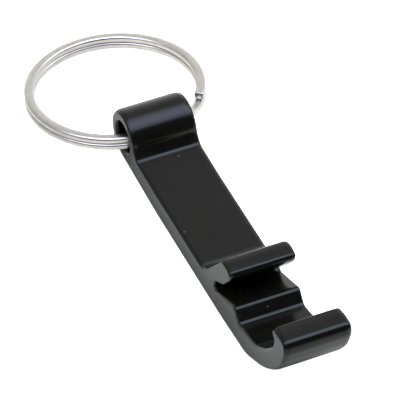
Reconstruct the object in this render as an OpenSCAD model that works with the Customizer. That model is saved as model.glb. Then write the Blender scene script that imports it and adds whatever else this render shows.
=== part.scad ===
// Keychain bottle opener: a short length of extruded aluminium bar with a
// key-ring tube at one end and a cap hook at the other, and a two-turn split
// ring hanging in the tube.
// Millimetres, +Z up. X runs along the bar from the tube towards the hook and
// Y across its cut faces. The origin is the middle of the flat underside.

/* [Bar] */
// Width of the bar between its two cut faces
body_w = 10.8; // [8:0.2:11]
// Thickness of the flat plate between the tube and the lip
plate_t = 4.2; // [3.9:0.1:4.4]
// Length of the level stretch in the middle of the underside
flat_l = 24; // [20:1:26]

/* [Key-ring tube] */
// Outside diameter of the tube
tube_d = 8.7; // [8.2:0.1:9.2]
// Diameter of the hole the split ring passes through
bore_d = 5; // [4.9:0.1:5.6]
// Distance of the tube's centre from the middle of the underside
tube_x = 24.5; // [23.5:0.5:26]
// Height of the tube's centre above the underside
tube_z = 5.1; // [4.9:0.1:5.3]
// Radius of the hollow where the plate turns up into the tube
tube_fillet_r = 1.1; // [0.8:0.1:1.3]

/* [Fulcrum lip] */
// Height of the lip's top above the underside
lip_h = 12; // [11.6:0.1:12.3]
// Forward lean of the lip's back, measured up from the plate
lip_lean = 51; // [50:0.5:53]
// Where the line of the lip's back meets the plate
lip_x = 5.5; // [5:0.1:5.7]
// Radius of the hollow behind the lip
lip_fillet_r = 3; // [1:0.5:3.5]

/* [Cap hook] */
// Furthest reach of the hook from the middle of the underside
hook_x = 33.55; // [33.35:0.1:33.95]
// Height of the hook's top above the underside
hook_h = 14.85; // [14.65:0.1:15.95]
// Height of the floor between the ramp and the hook
floor_z = 4.5; // [4:0.1:4.9]
// Height of the rounded ridge of the ramp under the lip
ridge_z = 6.75; // [6.3:0.1:6.9]

/* [Split ring] */
// Outside diameter of the split ring
ring_od = 28.5; // [27.5:0.1:28.5]
// Width of the ring's wire, measured towards the ring's centre
wire_w = 1.55; // [1.2:0.05:1.55]
// Height of one turn of the ring's wire
wire_t = 1.15; // [0.9:0.05:1.15]
// Angle of the ring's plane below level where it lies on the table
ring_tilt = 7.5; // [6:0.5:8]

/* [Hidden] */
$fn = 96;

// Aluminium and nickel colours for the preview
body_colour = [0.10, 0.10, 0.11];
ring_colour = [0.80, 0.79, 0.76];

tube_r = tube_d / 2;
tube_c = [-tube_x, tube_z];

// The underside leaves the level at each end and rises gently
flat_end_l = [-flat_l / 2, 0];
flat_end_r = [flat_l / 2, 0];

// Arcs are let run this far past tangent, so that they cross the flats cleanly
arc_over = 0.001;

// Tangent from the end of the level stretch to the bottom of the tube
tangent_r = tube_r - arc_over;
to_tube = tube_c - flat_end_l;
tube_dist = norm(to_tube);
tangent_len = sqrt(tube_dist * tube_dist - tangent_r * tangent_r);
tangent_dir = atan2(to_tube[1], to_tube[0]) + asin(tangent_r / tube_dist);
tube_tangent = flat_end_l + tangent_len * [cos(tangent_dir), sin(tangent_dir)];

// The plate's top follows the same bend towards the tube
plate_bend = [-flat_l / 2 - 0.5, plate_t];
plate_end_z = plate_t + 0.27;

// At the tube the plate's top turns up at the knee, and a wide hollow takes it
// on until it meets the front of the tube
knee_rise = 45;
knee = [-tube_x + tube_r + 1.12, plate_end_z];
up_the_knee = [-cos(knee_rise), sin(knee_rise)];
out_of_knee = [sin(knee_rise), cos(knee_rise)];
hollow_foot = knee + (tube_fillet_r * tan(knee_rise / 2) + 0.12) * up_the_knee;
foot_reach = hollow_foot - tube_c;
hollow_r = (foot_reach * foot_reach - tube_r * tube_r) / (2 * (tube_r - foot_reach * out_of_knee));
hollow_c = hollow_foot + hollow_r * out_of_knee;
hollow_touch = tube_c + (hollow_c - tube_c) * tube_r / (tube_r + hollow_r);

// Top of the lip: its back edge, its crown and its nose
lip_edge_z = lip_h - 0.25;
lip_back_x = lip_x + (lip_edge_z - plate_t) / tan(lip_lean);
nose_x = 15.35;
crown_x = (lip_back_x + nose_x) / 2 - 0.45;

// Corners of the bar's outline in the side view, counterclockwise: x, z and the
// radius the corner is rounded to. Radius 0 leaves the corner as it is.
outline = [
    [tube_tangent[0], tube_tangent[1], 0],
    [flat_end_l[0], flat_end_l[1], 40],
    [flat_end_r[0], flat_end_r[1], 40],
    // hook, outside: the bend under it, its round front and its top
    [20.9, 0.5, 7],
    [26.6, 3.2, 16],
    [30.4, 6.3, 14],
    [32.7, 9.6, 9],
    [hook_x, hook_h - 2.2, 5],
    [hook_x + 0.05, hook_h - 0.1, 1.1],
    [31, hook_h, 6],
    // hook, inside: the catch that points back over the bowl
    [29.5, hook_h - 0.17, 0.5],
    [28.95, hook_h - 1.35, 0.5],
    [29.95, hook_h - 2.25, 0.8],
    [29.75, 11, 3],
    [27.2, 8, 7],
    [24.2, floor_z + 1.15, 5],
    // floor and the ramp's ridge
    [18.35, floor_z, 0.9],
    [16.56, ridge_z - 0.22, 0.9],
    // bottom of the slot under the lip
    [10.15, 3.85, 0.5],
    [9.4, 4.3, 0.35],
    [9.65, 5.5, 0.6],
    // lip, front side: up to the nose, over its slightly arched top and down its back
    [12.3, 7.15, 2.5],
    [14.62, 10.15, 4],
    [nose_x, lip_h - 0.28, 0.7],
    [crown_x, lip_h, 5],
    [lip_back_x, lip_edge_z, 1.2],
    [lip_x, plate_t, lip_fillet_r],
    // the plate's top and the knee where it turns up to the tube
    [plate_bend[0], plate_bend[1], 40],
    [knee[0], knee[1], tube_fillet_r],
    [hollow_foot[0], hollow_foot[1], 0],
    [tube_c[0] + 1, plate_end_z, 0],
    [tube_c[0], tube_z, 0]
];
corner_count = len(outline);

function flat_point(c) = [c[0], c[1]];
function unit(v) = v / norm(v);
function turn(a, b) = a[0] * b[1] - a[1] * b[0];
function before(i) = flat_point(outline[(i + corner_count - 1) % corner_count]);
function here(i) = flat_point(outline[i]);
function after(i) = flat_point(outline[(i + 1) % corner_count]);
function is_convex(i) = turn(here(i) - before(i), after(i) - here(i)) > 0;
function to_before(i) = unit(before(i) - here(i));
function to_after(i) = unit(after(i) - here(i));
function half_angle(i) = acos(to_before(i) * to_after(i)) / 2;
function trim(i) = outline[i][2] / tan(half_angle(i));
function first_touch(i) = here(i) + to_before(i) * trim(i);
function second_touch(i) = here(i) + to_after(i) * trim(i);
function bisector(i) = unit(to_before(i) + to_after(i));
function round_centre(i) = here(i) + bisector(i) * outline[i][2] / sin(half_angle(i));
function apex(i) = here(i) - bisector(i) * min(0.5, trim(i) / 2);
function round_r(i) = outline[i][2] + arc_over;
function hollow_reach(i) = trim(i) + 2 * sqrt(2 * outline[i][2] * arc_over);
function hollow_start(i) = here(i) + to_before(i) * hollow_reach(i);
function hollow_end(i) = here(i) + to_after(i) * hollow_reach(i);

// Ring: the wire's centre line, where it steps up, and how it lies
ring_r = (ring_od - wire_w) / 2;
ring_h = 2 * wire_t;
wire_edge_r = 0.38;
step_at = 37;
step_half = 13;
end_gap = 3;
ring_y = -1.35;
ring_x = -36.75;
ring_lift = (ring_r + wire_w / 2 - wire_edge_r) * sin(ring_tilt)
    + (ring_h / 2 - wire_edge_r) * cos(ring_tilt) + wire_edge_r;

// The step is one more arc, tipped so that it climbs from turn to turn
step_overlap = 0.4;
step_tilt = asin(wire_t / 2 / (ring_r * sin(step_half)));

// An inside corner is first bridged straight across between the two points
// where its rounding starts, and an outside corner keeps its point
function bridged(i) = outline[i][2] > 0 && !is_convex(i)
    ? [first_touch(i), second_touch(i)] : [here(i)];
bridged_outline = [for (i = [0 : corner_count - 1]) each bridged(i)];

// What is cut away to round one corner: the point of an outside corner, or
// the hollow of an inside one
module corner_cut(i) {
    if (is_convex(i))
        difference() {
            polygon([first_touch(i), apex(i), second_touch(i)]);
            translate(round_centre(i)) circle(r = round_r(i));
        }
    else
        intersection() {
            polygon([hollow_start(i), apex(i), hollow_end(i)]);
            translate(round_centre(i)) circle(r = round_r(i));
        }
}

// Side view of the bar without its tube
module bar_outline() {
    difference() {
        polygon(bridged_outline);
        for (i = [0 : corner_count - 1])
            if (outline[i][2] > 0) corner_cut(i);
    }
}

// Wide hollow between the knee and the tube
module tube_hollow() {
    difference() {
        polygon([tube_c, hollow_foot - [0, 1], hollow_foot, hollow_c, hollow_touch]);
        translate(hollow_c) circle(r = hollow_r + arc_over);
    }
}

// The extruded bar: tube, plate, fulcrum lip, ramp and cap hook in one piece
module opener_body() {
    color(body_colour)
    rotate([90, 0, 0])
    linear_extrude(height = body_w, center = true)
    difference() {
        union() {
            bar_outline();
            translate(tube_c) circle(r = tube_r);
            tube_hollow();
        }
        translate(tube_c) circle(d = bore_d);
    }
}

// Cross-section of the ring's wire, rounded at its four edges
module wire_section() {
    square([wire_w, wire_t - 2 * wire_edge_r], center = true);
    square([wire_w - 2 * wire_edge_r, wire_t], center = true);
    for (sx = [-1, 1])
        for (sz = [-1, 1])
            translate([sx * (wire_w / 2 - wire_edge_r), sz * (wire_t / 2 - wire_edge_r)])
                circle(r = wire_edge_r);
}

// A length of wire bent to the ring's radius, from angle 0 on
module wire_arc(sweep) {
    rotate_extrude(angle = sweep)
    translate([ring_r, 0])
    wire_section();
}

// The split ring: one wire wound two turns, lying as it rests. The lower turn
// goes nearly the whole way round, steps up and goes on as the upper turn.
module split_ring() {
    color(ring_colour)
    translate([ring_x, ring_y, ring_lift])
    rotate([0, -ring_tilt, 0])
    union() {
        translate([0, 0, -wire_t / 2])
            rotate([0, 0, step_at + step_half])
            wire_arc(360 - 2 * step_half - end_gap);
        translate([0, 0, wire_t / 2])
            rotate([0, 0, step_at + step_half + end_gap])
            wire_arc(360 - 2 * step_half - end_gap);
        rotate([0, 0, step_at])
            rotate([-step_tilt, 0, 0])
            rotate([0, 0, -step_half - step_overlap])
            wire_arc(2 * (step_half + step_overlap));
    }
}

opener_body();
split_ring();
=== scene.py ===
import math

import bmesh
import bpy
import numpy as np
from mathutils import Matrix, Vector
from mathutils.geometry import delaunay_2d_cdt


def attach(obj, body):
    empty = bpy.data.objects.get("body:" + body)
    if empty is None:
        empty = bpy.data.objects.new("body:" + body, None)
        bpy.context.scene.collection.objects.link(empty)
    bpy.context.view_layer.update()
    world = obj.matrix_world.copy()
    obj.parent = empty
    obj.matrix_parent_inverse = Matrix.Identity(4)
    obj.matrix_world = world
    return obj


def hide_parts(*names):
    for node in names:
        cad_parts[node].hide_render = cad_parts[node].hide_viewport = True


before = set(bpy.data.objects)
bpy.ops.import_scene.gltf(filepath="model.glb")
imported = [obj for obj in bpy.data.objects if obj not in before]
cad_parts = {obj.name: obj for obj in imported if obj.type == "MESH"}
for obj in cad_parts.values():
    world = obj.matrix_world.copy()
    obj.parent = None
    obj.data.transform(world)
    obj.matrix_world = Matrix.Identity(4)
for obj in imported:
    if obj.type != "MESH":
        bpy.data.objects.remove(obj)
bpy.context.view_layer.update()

MM = 0.001

# ---------------------------------------------------------------- the bar
# Sizes in millimetres, the same as in the CAD part
BODY_W = 10.8
PLATE_T = 4.2
FLAT_L = 24.0
TUBE_R = 4.35
BORE_R = 2.5
TUBE_C = np.array([-24.5, 5.1])
TUBE_FILLET_R = 1.1
PLATE_END_Z = PLATE_T + 0.27
KNEE_RISE = math.radians(45)
KNEE = np.array([TUBE_C[0] + TUBE_R + 1.12, PLATE_END_Z])
LIP_H = 12.0
LIP_X = 5.5
LIP_LEAN = math.radians(51)
LIP_EDGE_Z = LIP_H - 0.25
LIP_BACK_X = LIP_X + (LIP_EDGE_Z - PLATE_T) / math.tan(LIP_LEAN)
NOSE_X = 15.35
CROWN_X = (LIP_BACK_X + NOSE_X) / 2 - 0.45
HOOK_X = 33.55
HOOK_H = 14.85
FLOOR_Z = 4.5
RIDGE_Z = 6.75

# How far the tumbled edge runs in over the cut faces, and how far it falls away from them
TUBE_EDGE = (0.5, 1.15)
BORE_EDGE = (0.45, 0.8)

# Corners of the side view: x, z, radius, and the same two sizes of the edge there
CORNERS = [
    (-FLAT_L / 2, 0.0, 40, 0.5, 1.0),
    (FLAT_L / 2, 0.0, 40, 0.5, 1.0),
    (20.9, 0.5, 7, 0.45, 1.0),
    (26.6, 3.2, 16, 0.45, 1.0),
    (30.4, 6.3, 14, 0.4, 1.0),
    (32.7, 9.6, 9, 0.4, 0.9),
    (HOOK_X, HOOK_H - 2.2, 5, 0.35, 0.9),
    (HOOK_X + 0.05, HOOK_H - 0.1, 1.1, 0.6, 1.1),
    (31.0, HOOK_H, 6, 0.6, 1.1),
    (29.5, HOOK_H - 0.17, 0.5, 0.8, 1.1),
    (28.95, HOOK_H - 1.35, 0.5, 0.4, 0.3),
    (29.95, HOOK_H - 2.25, 0.8, 0.35, 0.25),
    (29.75, 11.0, 3, 0.35, 0.25),
    (27.2, 8.0, 7, 0.8, 0.2),
    (24.2, FLOOR_Z + 1.15, 5, 0.8, 0.25),
    (18.35, FLOOR_Z, 0.9, 1.0, 0.4),
    (16.56, RIDGE_Z - 0.22, 0.9, 0.6, 0.5),
    (10.15, 3.85, 0.5, 0.5, 0.25),
    (9.4, 4.3, 0.35, 0.5, 0.25),
    (9.65, 5.5, 0.6, 0.5, 0.25),
    (12.3, 7.15, 2.5, 0.45, 0.3),
    (14.62, 10.15, 4, 0.4, 0.4),
    (NOSE_X, LIP_H - 0.28, 0.7, 0.5, 1.1),
    (CROWN_X, LIP_H, 5, 0.35, 0.9),
    (LIP_BACK_X, LIP_EDGE_Z, 1.2, 0.4, 0.9),
    (LIP_X, PLATE_T, 3, 0.5, 0.9),
    (-FLAT_L / 2 - 0.5, PLATE_T, 40, 0.5, 0.9),
    (KNEE[0], KNEE[1], TUBE_FILLET_R, 0.5, 1.0),
]


# Longest steps along the outline: round an arc by angle and by length, and along a flat
ARC_TURN = math.radians(8)
ARC_PITCH = 0.45
FLAT_PITCH = 0.6
BORE_POINTS = 48


def unit(v):
    return v / np.linalg.norm(v)


def bearing(v):
    return math.atan2(v[1], v[0])


def shorter_way(sweep):
    return (sweep + math.pi) % (2 * math.pi) - math.pi


def arc(centre, radius, a0, sweep, outward, edge=TUBE_EDGE):
    """Points, outward normals and edge sizes along an arc, without its last point."""
    count = max(3, math.ceil(abs(sweep) / ARC_TURN), math.ceil(abs(sweep) * radius / ARC_PITCH))
    out = []
    for k in range(count):
        a = a0 + sweep * k / count
        d = np.array([math.cos(a), math.sin(a)])
        out.append((centre + d * radius, d * outward, edge))
    return out


def straight(p, q, normal, edge0=TUBE_EDGE, edge1=TUBE_EDGE):
    """The same between p and q, without q."""
    count = max(1, round(np.linalg.norm(q - p) / FLAT_PITCH))
    edge0, edge1 = np.array(edge0), np.array(edge1)
    return [(p + (q - p) * k / count, normal, edge0 + (edge1 - edge0) * k / count) for k in range(count)]


def bar_outline():
    """The bar's side view as one smooth counterclockwise loop: points, outward normals and
    edge sizes."""
    start = np.array(CORNERS[0][:2])
    to_tube = TUBE_C - start
    reach = np.linalg.norm(to_tube)
    lean = bearing(to_tube) + math.asin(TUBE_R / reach)
    tangent = start + math.sqrt(reach ** 2 - TUBE_R ** 2) * np.array([math.cos(lean), math.sin(lean)])
    up_the_knee = np.array([-math.cos(KNEE_RISE), math.sin(KNEE_RISE)])
    out_of_knee = np.array([math.sin(KNEE_RISE), math.cos(KNEE_RISE)])
    foot = KNEE + (TUBE_FILLET_R * math.tan(KNEE_RISE / 2) + 0.12) * up_the_knee
    reach_in = foot - TUBE_C
    hollow_r = (reach_in @ reach_in - TUBE_R ** 2) / (2 * (TUBE_R - reach_in @ out_of_knee))
    hollow_c = foot + hollow_r * out_of_knee
    touch = TUBE_C + (hollow_c - TUBE_C) * TUBE_R / (TUBE_R + hollow_r)

    corners = [np.array(c[:2], float) for c in CORNERS]
    path = [tangent] + corners + [foot]
    loop = []
    last, last_edge = tangent, TUBE_EDGE
    for i, (_, _, radius, *edge) in enumerate(CORNERS):
        here = path[i + 1]
        back, on = unit(path[i] - here), unit(path[i + 2] - here)
        half = math.acos(float(np.clip(back @ on, -1, 1))) / 2
        first = here + back * radius / math.tan(half)
        second = here + on * radius / math.tan(half)
        centre = here + unit(back + on) * radius / math.sin(half)
        convex = (-back[0]) * on[1] - (-back[1]) * on[0] > 0
        loop += straight(last, first, np.array([-back[1], back[0]]), last_edge, edge)
        a0, a1 = bearing(first - centre), bearing(second - centre)
        loop += arc(centre, radius, a0, shorter_way(a1 - a0), 1 if convex else -1, edge)
        last, last_edge = second, edge
    run = unit(foot - last)
    loop += straight(last, foot, np.array([run[1], -run[0]]))
    a0, a1 = bearing(foot - hollow_c), bearing(touch - hollow_c)
    loop += arc(hollow_c, hollow_r, a0, shorter_way(a1 - a0), -1)
    a0, a1 = bearing(touch - TUBE_C), bearing(tangent - TUBE_C)
    loop += arc(TUBE_C, TUBE_R, a0, (a1 - a0) % (2 * math.pi), 1)
    points, normals, edges = (np.array(column) for column in zip(*loop))
    for _ in range(3):
        edges = (np.roll(edges, 1, 0) + 2 * edges + np.roll(edges, -1, 0)) / 4
    return points, normals, edges


def bore_outline():
    """The bore as a loop that runs clockwise, and its normals, which point at its centre."""
    steps = np.arange(BORE_POINTS) * 2 * math.pi / BORE_POINTS
    d = np.stack([np.cos(steps), -np.sin(steps)], 1)
    return TUBE_C + d * BORE_R, -d


def loop_distance(points, loop, edges=None):
    """Distance from each point to a closed loop of straight segments. With the loop's edge
    sizes, the distance is a share of the local run-in, and the local fall comes with it."""
    a, b = loop, np.roll(loop, -1, 0)
    ab = b - a
    sizes = np.ones((len(loop), 2)) if edges is None else edges
    growth = np.roll(sizes, -1, 0) - sizes
    best = np.full(len(points), 1e9)
    fall = np.ones(len(points))
    for s in range(0, len(points), 4000):
        p = points[s:s + 4000, None, :]
        t = np.clip(((p - a) * ab).sum(2) / (ab * ab).sum(1), 0, 1)
        gap = p - (a + ab * t[..., None])
        d = np.sqrt((gap * gap).sum(2)) / (sizes[:, 0] + growth[:, 0] * t)
        k = d.argmin(1)
        row = np.arange(len(k))
        best[s:s + 4000] = d[row, k]
        fall[s:s + 4000] = sizes[k, 1] + growth[k, 1] * t[row, k]
    return best if edges is None else (best, fall)


def inside(points, loop):
    a, b = loop, np.roll(loop, -1, 0)
    x, z = points[:, 0, None], points[:, 1, None]
    crosses = (a[:, 1] > z) != (b[:, 1] > z)
    rise = np.where(b[:, 1] == a[:, 1], 1e-12, b[:, 1] - a[:, 1])
    return (crosses & (x < a[:, 0] + (z - a[:, 1]) * (b[:, 0] - a[:, 0]) / rise)).sum(1) % 2 == 1


class EdgeField:
    """How far a point of the cut face is into the nearest edge's rounding, smoothed so that
    thin places such as the tube's wall crown gently, and how far that edge falls away."""

    PITCH = 0.12
    MARGIN = 1.2
    SOFT_INTO = 0.15
    SOFT_FALL = 0.3

    def __init__(self, loops):
        outline, bore = loops[0][0], loops[1][0]
        self.low = outline.min(0) - self.MARGIN
        size = ((outline.max(0) + self.MARGIN - self.low) / self.PITCH).astype(int) + 1
        xs = self.low[0] + np.arange(size[0]) * self.PITCH
        zs = self.low[1] + np.arange(size[1]) * self.PITCH
        grid = np.stack(np.meshgrid(xs, zs, indexing="ij"), -1).reshape(-1, 2)
        (outer, outer_fall), (inner, inner_fall) = (
            loop_distance(grid, loop, edges) for loop, _, edges in loops
        )
        solid = inside(grid, outline) & ~inside(grid, bore)
        into = np.where(solid, 1, -1) * np.minimum(outer, inner)
        fall = np.where(outer < inner, outer_fall, inner_fall)
        self.into = self.blur(into.reshape(size), self.SOFT_INTO)
        self.slope = np.stack(np.gradient(self.into, self.PITCH), -1)
        self.fall = self.blur(fall.reshape(size), self.SOFT_FALL)

    def blur(self, grid, width):
        reach = math.ceil(3 * width / self.PITCH)
        kernel = np.exp(-0.5 * (np.arange(-reach, reach + 1) * self.PITCH / width) ** 2)
        kernel /= kernel.sum()
        for axis in (0, 1):
            grid = np.apply_along_axis(
                lambda r: np.convolve(np.pad(r, reach, "edge"), kernel, "valid"), axis, grid
            )
        return grid

    def at(self, points, *grids):
        """Each grid's value at the points, between its nearest four samples."""
        f = (points - self.low) / self.PITCH
        i = np.clip(f.astype(int), 0, np.array(self.into.shape) - 2)
        x, z = i.T
        tx, tz = (f - i).T
        out = []
        for g in grids:
            w = [(1 - tx) * (1 - tz), tx * (1 - tz), (1 - tx) * tz, tx * tz]
            if g.ndim == 3:
                w = [v[:, None] for v in w]
            out.append(g[x, z] * w[0] + g[x + 1, z] * w[1] + g[x, z + 1] * w[2] + g[x + 1, z + 1] * w[3])
        return out

    def rise(self, points, edge_into=None, edge_slope=None, edge_fall=None):
        """The cut face's distance from the bar's middle, its slope, and how far into the
        rounding each point is. A row that rounds an edge gives its own exact values. They
        hold near the wall, and the smoothed ones take over further in."""
        into, slope, fall = self.at(points, self.into, self.slope, self.fall)
        if edge_into is not None:
            w = np.clip((edge_into - 0.15) / 0.7, 0, 1)
            w = w * w * (3 - 2 * w)
            into = edge_into + w * (into - edge_into)
            slope = edge_slope + w[:, None] * (slope - edge_slope)
            fall = edge_fall + w * (fall - edge_fall)
        u = 1 - np.clip(into, 0.0004, 1)
        lift = np.sqrt(1 - u * u)
        return BODY_W / 2 - fall * (1 - lift), slope * (fall * u / lift)[:, None], into


def make_mesh(name, verts, faces, normals=None, floats=None):
    """A smooth object, with its own normals if they are given, and values at its points."""
    mesh = bpy.data.meshes.new(name)
    mesh.from_pydata([tuple(v) for v in verts], [], faces)
    work = bmesh.new()
    work.from_mesh(mesh)
    bmesh.ops.recalc_face_normals(work, faces=work.faces[:])
    work.to_mesh(mesh)
    work.free()
    mesh.polygons.foreach_set("use_smooth", [True] * len(mesh.polygons))
    for key, values in (floats or {}).items():
        layer = mesh.attributes.new(key, "FLOAT", "POINT")
        layer.data.foreach_set("value", np.asarray(values, np.float32))
    if normals is not None:
        mesh.normals_split_custom_set_from_vertices([tuple(n) for n in normals])
    obj = bpy.data.objects.new(name, mesh)
    bpy.context.scene.collection.objects.link(obj)
    return obj


# Rows of points across the bar's width, and how fast wear fades away from the cut faces
WALL_ROWS = 15
WEAR_FADE = 6.5
# Angles of the rows that round a tumbled edge, from the wall to the cut face
EDGE_TURN = np.radians([12, 24, 36, 48, 60, 72, 82, 90])
# Least run-in of a rounded edge, and the share of the room there is that it may take
LEAST_ROOM = 0.08
ROOM_SHARE = 0.85
# Spacing of the points inside a cut face, and how far they keep off its rounded edge
FACE_PITCH = 0.5
FACE_CLEAR = 0.2


class Skin:
    """The bar's mesh as it grows: points, their normals and finish values, and faces."""

    def __init__(self):
        self.verts, self.normals, self.faces = [], [], []
        self.cut, self.edge = [], []

    def add(self, places, y, normals, cut, edge):
        """One row of points at side-view places and widths y. Returns their numbers."""
        start = len(self.verts)
        for k, (x, z) in enumerate(places):
            self.verts.append((x * MM, y[k] * MM, z * MM))
            self.normals.append(normals[k])
            self.cut.append(cut[k])
            self.edge.append(edge[k])
        return list(range(start, len(self.verts)))

    def add_face_row(self, places, y, slope, into, sign):
        """A row on a cut face, or on the rounding that leads to it."""
        normals = np.stack([-slope[:, 0], np.full(len(places), float(sign)), -slope[:, 1]], 1)
        normals /= np.linalg.norm(normals, axis=1)[:, None]
        into = np.clip(into, 0, 1)
        return self.add(places, sign * y, normals, into, 1 - into)

    def band(self, a, b):
        """Faces between two rows."""
        for k in range(len(a)):
            j = (k + 1) % len(a)
            self.faces.append((a[k], a[j], b[j], b[k]))


def wall(skin, loop, loop_n, edges):
    """The extruded surface along one loop. Returns its rows at the two ends."""
    rows = []
    normals = np.stack([loop_n[:, 0], np.zeros(len(loop)), loop_n[:, 1]], 1)
    for t in np.linspace(-1, 1, WALL_ROWS):
        worn = max(0.0, 1 - (1 - abs(t)) * WEAR_FADE)
        y = t * (BODY_W / 2 - edges[:, 1])
        rows.append(skin.add(loop, y, normals, [0.0] * len(loop), [worn] * len(loop)))
    for a, b in zip(rows, rows[1:]):
        skin.band(a, b)
    return rows[0], rows[-1]


def edge_room(loop, loop_n, outline, bore):
    """How far in from each point the rounding can run before another edge is nearer. A
    longer run only counts where the shorter one before it did."""
    room = np.full(len(loop), LEAST_ROOM)
    for r in np.arange(0.1, 1.3, 0.05):
        spot = loop - loop_n * r
        d = np.minimum(loop_distance(spot, outline), loop_distance(spot, bore))
        room = np.where((d > 0.95 * r) & (room > r - 0.08), r, room)
    room *= ROOM_SHARE
    for _ in range(6):
        room = np.minimum(room, (np.roll(room, 1) + np.roll(room, -1) + 0.2) / 2)
    return room


def rounded_edge(skin, field, row, loop, loop_n, edges, room, sign):
    """The tumbled edge between a wall and a cut face. Returns its last row and places."""
    run_in = np.minimum(room, edges[:, 0])
    for a in EDGE_TURN:
        step = run_in * (1 - math.cos(a))
        places = loop - loop_n * step[:, None]
        rise = field.rise(places, step / edges[:, 0], -loop_n / edges[:, :1], edges[:, 1])
        new = skin.add_face_row(places, *rise, sign)
        skin.band(row, new)
        row = new
    return row, places


def face_places(outline, rim, hole):
    """Evenly spread places on a cut face, between its rim and the rim of the bore."""
    low, high = outline.min(0), outline.max(0)
    rows = []
    for j, z in enumerate(np.arange(low[1], high[1], FACE_PITCH * 0.866)):
        xs = np.arange(low[0] + (j % 2) * FACE_PITCH / 2, high[0], FACE_PITCH)
        rows.append(np.stack([xs, np.full(len(xs), z)], 1))
    places = np.concatenate(rows)
    places = places[inside(places, rim) & ~inside(places, hole)]
    clear = np.minimum(loop_distance(places, rim), loop_distance(places, hole))
    return places[clear > FACE_CLEAR]


def cut_face(skin, field, outline, rims, sign):
    """The middle of a cut face, joined to the last rows of its two rounded edges."""
    (rim_row, rim), (hole_row, hole) = rims
    n0, n1 = len(rim), len(hole)
    fences = [(k, (k + 1) % n0) for k in range(n0)]
    fences += [(n0 + k, n0 + (k + 1) % n1) for k in range(n1)]
    places = np.concatenate([rim, hole, face_places(outline, rim, hole)])
    points, _, triangles, origins, _, _ = delaunay_2d_cdt(
        [Vector((float(x), float(z))) for x, z in places], fences, [], 0, 1e-7
    )
    points = np.array([tuple(v) for v in points])
    known = rim_row + hole_row
    number = {}
    for k, origin in enumerate(origins):
        on_rim = [o for o in origin if o < n0 + n1]
        if on_rim:
            number[k] = known[on_rim[0]]
    fresh = [k for k in range(len(points)) if k not in number]
    rise = (part[fresh] for part in field.rise(points))
    number.update(zip(fresh, skin.add_face_row(points[fresh], *rise, sign)))
    centres = np.array([points[list(f)].mean(0) for f in triangles])
    solid = inside(centres, rim) & ~inside(centres, hole)
    for face, keep in zip(triangles, solid):
        if keep:
            skin.faces.append(tuple(number[k] for k in face))


def build_bar():
    outline, outline_n, outline_edges = bar_outline()
    bore, bore_n = bore_outline()
    loops = ((outline, outline_n, outline_edges), (bore, bore_n, np.tile(BORE_EDGE, (len(bore), 1))))
    field = EdgeField(loops)
    skin = Skin()
    ends = [wall(skin, *each) for each in loops]
    rooms = [edge_room(loop, loop_n, outline, bore) for loop, loop_n, _ in loops]
    for side, sign in enumerate((-1, 1)):
        rims = [
            rounded_edge(skin, field, end[side], *each, room, sign)
            for end, each, room in zip(ends, loops, rooms)
        ]
        cut_face(skin, field, outline, rims, sign)
    finish = {"cut": skin.cut, "edge": skin.edge}
    return make_mesh("bar_finished", skin.verts, skin.faces, skin.normals, finish)


# --------------------------------------------------------------- the ring
RING_OD = 28.5
WIRE_W = 1.55
WIRE_T = 1.15
RING_TILT = math.radians(7.5)
RING_R = (RING_OD - WIRE_W) / 2
RING_X, RING_Y = -36.75, -1.35
WIRE_EDGE_R = 0.38
RING_LIFT = (
    (RING_R + WIRE_W / 2 - WIRE_EDGE_R) * math.sin(RING_TILT)
    + (WIRE_T - WIRE_EDGE_R) * math.cos(RING_TILT)
    + WIRE_EDGE_R
)
STEP_AT, STEP_HALF, END_GAP = 37.0, 13.0, 3.0
# The wire's section is a rounded oblong; its two turns just do not touch
SECTION_POINTS = 32
SECTION_POWER = 0.64
TURN_GAP = 0.985
# Sections along the whole wire, in degrees round the ring: those on its full-size length,
# which starts a little in from each end, and the smaller ones that round its cut ends
WIRE_STATIONS = 300
FULL_SIZE_FROM = 0.4
END_SIZES = ((0.0, 0.86), (0.12, 0.95))


def build_ring():
    """One wire, two turns: it starts at its lower end, goes back round under itself,
    climbs over the step and goes round again on top to its upper end."""
    lower_end = STEP_AT - STEP_HALF + 360 - END_GAP
    upper_end = STEP_AT + STEP_HALF + END_GAP - 360
    section = []
    for a in np.arange(SECTION_POINTS) * 2 * math.pi / SECTION_POINTS:
        c, s = math.cos(a), math.sin(a)
        section.append((
            WIRE_W / 2 * TURN_GAP * math.copysign(abs(c) ** SECTION_POWER, c),
            WIRE_T / 2 * TURN_GAP * math.copysign(abs(s) ** SECTION_POWER, s),
        ))
    full = np.linspace(lower_end - FULL_SIZE_FROM, upper_end + FULL_SIZE_FROM, WIRE_STATIONS)
    stations = [(lower_end - back, size) for back, size in END_SIZES]
    stations += [(deg, 1.0) for deg in full]
    stations += [(upper_end + back, size) for back, size in reversed(END_SIZES)]
    rest = Matrix.Translation((RING_X, RING_Y, RING_LIFT)) @ Matrix.Rotation(-RING_TILT, 4, "Y")

    def height(deg):
        t = min(1, max(0, (STEP_AT + STEP_HALF - deg) / (2 * STEP_HALF)))
        t = t * t * (3 - 2 * t)
        return WIRE_T / 2 * (2 * t - 1)

    verts, faces, around, along, rows = [], [], [], [], []
    for deg, size in stations:
        a = math.radians(deg)
        rows.append(range(len(verts), len(verts) + SECTION_POINTS))
        for k, (u, v) in enumerate(section):
            r = RING_R + u * size
            verts.append(rest @ Vector((r * math.cos(a), r * math.sin(a), height(deg) + v * size)) * MM)
            around.append(k / SECTION_POINTS)
            along.append(a * RING_R)
    for a, b in zip(rows, rows[1:]):
        for k in range(SECTION_POINTS):
            j = (k + 1) % SECTION_POINTS
            faces.append((a[k], a[j], b[j], b[k]))
    faces.append(tuple(rows[0]))
    faces.append(tuple(rows[-1])[::-1])
    return make_mesh("ring_finished", verts, faces, None, {"around": around, "along": along})


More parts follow.
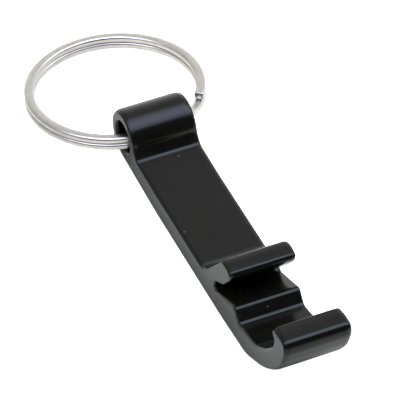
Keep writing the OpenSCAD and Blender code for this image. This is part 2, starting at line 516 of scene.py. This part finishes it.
# -------------------------------------------------------------- materials
class Nodes:
    """Short ways to add and join shader nodes in one tree."""

    def __init__(self, tree):
        self.tree = tree

    def add(self, kind, **values):
        """A new node. Values named in_ set or join its inputs, the others its own settings."""
        node = self.tree.nodes.new(kind)
        for key, value in values.items():
            if key.startswith("in_"):
                slot = key[3:]
                self.feed(value, node.inputs[int(slot) if slot.isdigit() else slot])
            else:
                setattr(node, key, value)
        return node

    def feed(self, value, socket):
        if isinstance(value, bpy.types.NodeSocket):
            self.tree.links.new(value, socket)
        else:
            socket.default_value = value

    def math(self, op, a, b=0.0, clamp=False):
        return self.add("ShaderNodeMath", operation=op, use_clamp=clamp, in_0=a, in_1=b).outputs[0]

    def span(self, value, a, b, c, d, how="LINEAR"):
        """Takes the value from a..b to c..d, and holds it outside."""
        spread = self.add(
            "ShaderNodeMapRange", interpolation_type=how, in_0=value, in_1=a, in_2=b, in_3=c, in_4=d
        )
        return spread.outputs[0]

    def mix(self, factor, a, b, how="MIX"):
        mixed = self.add("ShaderNodeMix", data_type="RGBA", blend_type=how, in_0=factor, in_6=a, in_7=b)
        return mixed.outputs[2]

    def noise(self, place, scale, detail):
        return self.add("ShaderNodeTexNoise", in_Vector=place, in_Scale=scale, in_Detail=detail).outputs[0]

    def stored(self, name):
        """A value kept at each point of the mesh."""
        return self.add("ShaderNodeAttribute", attribute_name=name).outputs["Fac"]

    def bump(self, height, depth):
        bump = self.add("ShaderNodeBump", in_Height=height, in_Strength=1.0, in_Distance=depth)
        return bump.outputs[0]


def new_material(name):
    """A material with its node helper and the inputs of its shader."""
    mat = bpy.data.materials.new(name)
    mat.use_nodes = True
    return mat, Nodes(mat.node_tree), mat.node_tree.nodes["Principled BSDF"].inputs


def millimetres(n, stretch=(1, 1, 1)):
    """The place on the object in millimetres, for patterns."""
    place = n.add("ShaderNodeTexCoord").outputs["Object"]
    scale = tuple(s / MM for s in stretch)
    return n.add("ShaderNodeMapping", in_Vector=place, in_Scale=scale).outputs[0]


def anodised():
    mat, n, shader = new_material("black_anodised_aluminium")
    cut, edge = n.stored("cut"), n.stored("edge")
    mm = millimetres(n)
    die = n.noise(millimetres(n, (1, 0.03, 1)), 4.0, 5.0)
    grain = n.noise(mm, 9.0, 3.0)
    cloud = n.noise(mm, 0.35, 4.0)
    wall_part = n.math("SUBTRACT", 1.0, cut)
    # a few tiny chips that show through to the metal
    cells = n.add("ShaderNodeTexVoronoi", in_Vector=mm, in_Scale=0.4)
    chosen = n.add("ShaderNodeSeparateColor", in_0=cells.outputs["Color"]).outputs[0]
    spots = n.span(cells.outputs["Distance"], 0.03, 0.05, 1, 0)
    chip = n.math("MULTIPLY", spots, n.span(chosen, 0.66, 0.7, 0, 1))
    # the dye's depth, paler grain, wear along the edges, and the chips
    worn = n.math("MULTIPLY", n.span(edge, 0.72, 1.0, 0, 1), n.span(grain, 0.56, 0.72, 0, 1), clamp=True)
    tone = n.mix(n.span(cloud, 0.3, 0.7, 0, 1), (0.0030, 0.0030, 0.0016, 1), (0.0048, 0.0048, 0.0030, 1))
    tone = n.mix(n.span(grain, 0.45, 0.75, 0, 1), tone, (0.0075, 0.0075, 0.0065, 1))
    tone = n.mix(n.math("MULTIPLY", worn, 0.35), tone, (0.05, 0.05, 0.052, 1))
    tone = n.mix(n.math("MULTIPLY", chip, 0.5), tone, (0.25, 0.25, 0.24, 1))
    n.feed(tone, shader["Base Color"])
    # die lines on the extruded faces, satin grain on the cut ones
    rough_wall = n.math("MULTIPLY", n.span(die, 0.3, 0.7, 0.14, 0.2), wall_part)
    rough_cut = n.math("MULTIPLY", n.span(grain, 0.3, 0.7, 0.27, 0.37), cut)
    rough = n.math("ADD", rough_wall, rough_cut)
    n.feed(n.math("ADD", rough, n.math("MULTIPLY", chip, 0.2)), shader["Roughness"])
    lines = n.math("MULTIPLY", n.math("MULTIPLY", die, wall_part), 0.35)
    satin = n.math("MULTIPLY", grain, n.span(cut, 0, 1, 0.05, 0.5))
    relief = n.math("SUBTRACT", n.math("ADD", lines, satin), chip)
    n.feed(n.bump(relief, 0.000012), shader["Normal"])
    n.feed(1.35, shader["IOR"])
    return mat


def nickel():
    mat, n, shader = new_material("nickel_plated_wire")
    mm = millimetres(n)
    along = n.math("MULTIPLY", n.stored("along"), 0.12)
    around = n.math("MULTIPLY", n.stored("around"), 22.0)
    flow = n.add("ShaderNodeCombineXYZ", in_0=along, in_1=around).outputs[0]
    drawn = n.noise(flow, 1.5, 4.0)
    cloud = n.noise(mm, 0.8, 3.0)
    grain = n.noise(mm, 8.0, 2.0)
    tone = n.mix(n.span(cloud, 0.3, 0.7, 0, 1), (0.55, 0.525, 0.485, 1), (0.63, 0.605, 0.565, 1))
    n.feed(tone, shader["Base Color"])
    n.feed(1.0, shader["Metallic"])
    rough = n.math("ADD", n.span(drawn, 0.3, 0.7, 0.22, 0.32), n.math("MULTIPLY", grain, 0.05))
    n.feed(rough, shader["Roughness"])
    relief = n.math("ADD", n.math("MULTIPLY", drawn, 0.6), n.math("MULTIPLY", grain, 0.4))
    n.feed(n.bump(relief, 0.000006), shader["Normal"])
    return mat


def table_top():
    """A white sweep, overexposed where the camera sees it. In what the object mirrors, its colour
    carries painted shade: darker towards the front and the near side, where the studio is dark,
    with a painted shadow along the bar and under the hook. The spans of x and y are in millimetres."""
    mat, n, shader = new_material("pale_table")
    mm = millimetres(n)
    x, y, _ = n.add("ShaderNodeSeparateXYZ", in_0=mm).outputs
    # painted shade: the floor darker towards the near side, and a painted shadow along the bar reaching
    # just past its near wall
    near = n.math("SUBTRACT", n.span(y, -30.0, -15.0, 0.38, 1.0), n.span(y, -8.5, -6.0, 0.0, 0.2))
    near = n.math("ADD", near, n.span(y, -4.0, 6.0, 0.0, 0.2))
    # painted shade: the floor darker in front of the hook
    front = n.math("MULTIPLY", n.span(x, 18.0, 34.0, 1.0, 0.85), n.span(x, 34.0, 72.0, 1.0, 0.18))
    # painted shadow on the floor under the hook
    from_hook = n.math("ABSOLUTE", n.math("SUBTRACT", x, 25.0))
    under = n.math("MAXIMUM", n.span(from_hook, 3.0, 8.0, 0.5, 1.0), n.span(y, -6.0, -3.0, 1.0, 0.0))
    # the painted shade and shadows together, multiplied into the floor's colour
    painted_shade = n.math("MULTIPLY", n.math("MULTIPLY", near, front), under)
    fine = n.span(n.noise(mm, 0.5, 3.0), 0.3, 0.7, 0, 1)
    tone = n.mix(fine, (0.93, 0.88, 0.71, 1), (0.97, 0.92, 0.75, 1))
    n.feed(n.mix(painted_shade, (0, 0, 0, 1), tone), shader["Base Color"])
    n.feed(0.9, shader["Roughness"])
    n.feed(0.0, shader["Specular IOR Level"])
    n.feed((1, 1, 1, 1), shader["Emission Color"])
    seen = n.add("ShaderNodeLightPath").outputs["Is Camera Ray"]
    n.feed(seen, shader["Emission Strength"])
    return mat


# ------------------------------------------------------------ the object
bar = build_bar()
bar.data.materials.append(anodised())
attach(bar, "bar")
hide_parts("opener_body")

ring = build_ring()
ring.data.materials.append(nickel())
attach(ring, "ring")
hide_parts("split_ring")

for node, finish in (("opener_body", bar), ("split_ring", ring)):
    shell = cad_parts[node]
    shell.data.materials.clear()
    shell.data.materials.append(finish.data.materials[0])

# ------------------------------------------------------------- the studio
# Half the floor's side, and how far it lies below the part, in metres
FLOOR_REACH = 1.5
FLOOR_DROP = 0.00003


def lay_table():
    mesh = bpy.data.meshes.new("table")
    corners = [(x * FLOOR_REACH, y * FLOOR_REACH, 0) for x, y in ((-1, -1), (1, -1), (1, 1), (-1, 1))]
    mesh.from_pydata(corners, [], [(0, 1, 2, 3)])
    mesh.materials.append(table_top())
    table = bpy.data.objects.new("table", mesh)
    table.location = (0, 0, -FLOOR_DROP)
    bpy.context.scene.collection.objects.link(table)


# Colour and strength of the overhead bank
BANK_TINT = (3.04, 3.34, 4.45, 1)


def studio():
    """A long soft overhead bank across the table, a white tent behind the tube, and
    darkness in front of the hook. Across and along are places on a ceiling at height 1."""
    world = bpy.data.worlds.new("studio")
    bpy.context.scene.world = world
    world.use_nodes = True
    n = Nodes(world.node_tree)

    def ramp(value, a, b, c, d):
        return n.span(value, a, b, c, d, how="SMOOTHSTEP")

    way = n.add("ShaderNodeTexCoord").outputs["Generated"]
    x, y, z = n.add("ShaderNodeSeparateXYZ", in_0=way).outputs
    above = n.math("MAXIMUM", z, 0.02)
    across = n.math("DIVIDE", x, above)
    along = n.math("DIVIDE", y, above)
    wide = n.math("MULTIPLY", ramp(across, -0.6, 0.1, 0.0, 1.0), ramp(across, 0.35, 0.85, 1.0, 0.0))
    long = n.math("MULTIPLY", ramp(along, -1.3, -0.9, 0.0, 1.0), ramp(along, 1.3, 2.0, 1.0, 0.0))
    bank = n.math("MULTIPLY", wide, long)
    tent = n.math("MULTIPLY", ramp(z, 0.05, 0.75, 1.25, 0.71), ramp(x, 0.1, 0.5, 1.0, 0.02))
    tent = n.math("MULTIPLY", tent, ramp(y, -0.85, 0.3, 0.5, 1.0))
    tinted = n.mix(1.0, bank, BANK_TINT, how="MULTIPLY")
    total = n.mix(1.0, tinted, tent, how="ADD")
    seen = n.add("ShaderNodeLightPath").outputs["Is Camera Ray"]
    n.feed(n.mix(seen, total, (1, 1, 1, 1)), world.node_tree.nodes["Background"].inputs["Color"])


# ------------------------------------------------------------- the camera
AZIMUTH, ELEVATION, ROLL = math.radians(-25.09), math.radians(44.56), math.radians(1.15)
TARGET = Vector((-7.3, -0.1, 5.0)) * MM
DISTANCE = 0.5952
FOCAL_LENGTH = 354.1


def place_camera():
    level = math.cos(ELEVATION)
    back = Vector((level * math.cos(AZIMUTH), level * math.sin(AZIMUTH), math.sin(ELEVATION)))
    right = Vector((-math.sin(AZIMUTH), math.cos(AZIMUTH), 0))
    up = back.cross(right)
    across = right * math.cos(ROLL) + up * math.sin(ROLL)
    upward = up * math.cos(ROLL) - right * math.sin(ROLL)
    lens = bpy.data.cameras.new("camera")
    lens.sensor_width = 36
    lens.lens = FOCAL_LENGTH
    lens.clip_start = 0.01
    camera = bpy.data.objects.new("camera", lens)
    turned = Matrix((across, upward, back)).transposed().to_4x4()
    camera.matrix_world = Matrix.Translation(TARGET + back * DISTANCE) @ turned
    bpy.context.scene.collection.objects.link(camera)
    bpy.context.scene.camera = camera


lay_table()
studio()
place_camera()
bpy.context.scene.view_settings.view_transform = "Standard"
